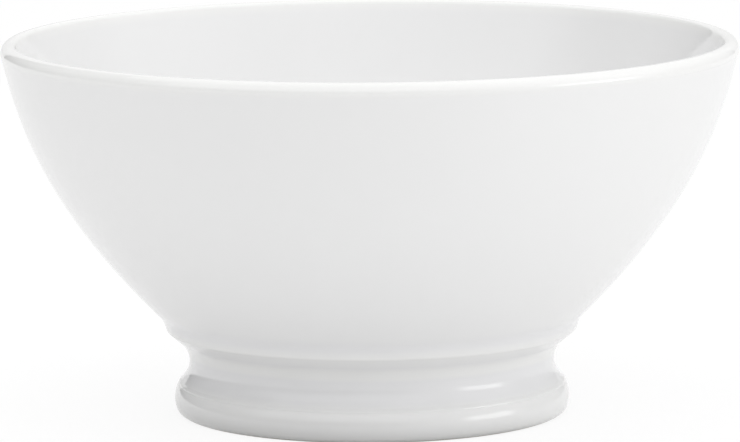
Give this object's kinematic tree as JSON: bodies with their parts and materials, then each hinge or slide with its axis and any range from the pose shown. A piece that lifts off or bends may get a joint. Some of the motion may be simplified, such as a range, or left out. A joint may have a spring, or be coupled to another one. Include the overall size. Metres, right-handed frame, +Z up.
{
  "type": "latte bowl",
  "caption": "Footed latte bowl in white glazed porcelain, with a rounded lip, flared wall, short collar, narrow neck and hollow foot ring.",
  "frame": {"origin": "on the table, at the middle of the standing ring under the foot", "axes": "+Z up along the axis that the bowl is turned about; X and Y are alike"},
  "size_m": [0.1524, 0.1524, 0.0776],
  "materials": {
    "glazed_porcelain": "white feldspathic glaze, glossy",
    "glazed_foot": "white glaze, glossy, wiped off the flat standing ring",
    "fired_slip": "vitrified porcelain slip under the glaze"
  },
  "bodies": {
    "root": {"bowl": "glazed_porcelain", "luting_slip": "fired_slip", "foot": "glazed_foot"}
  },
  "joints": []
}
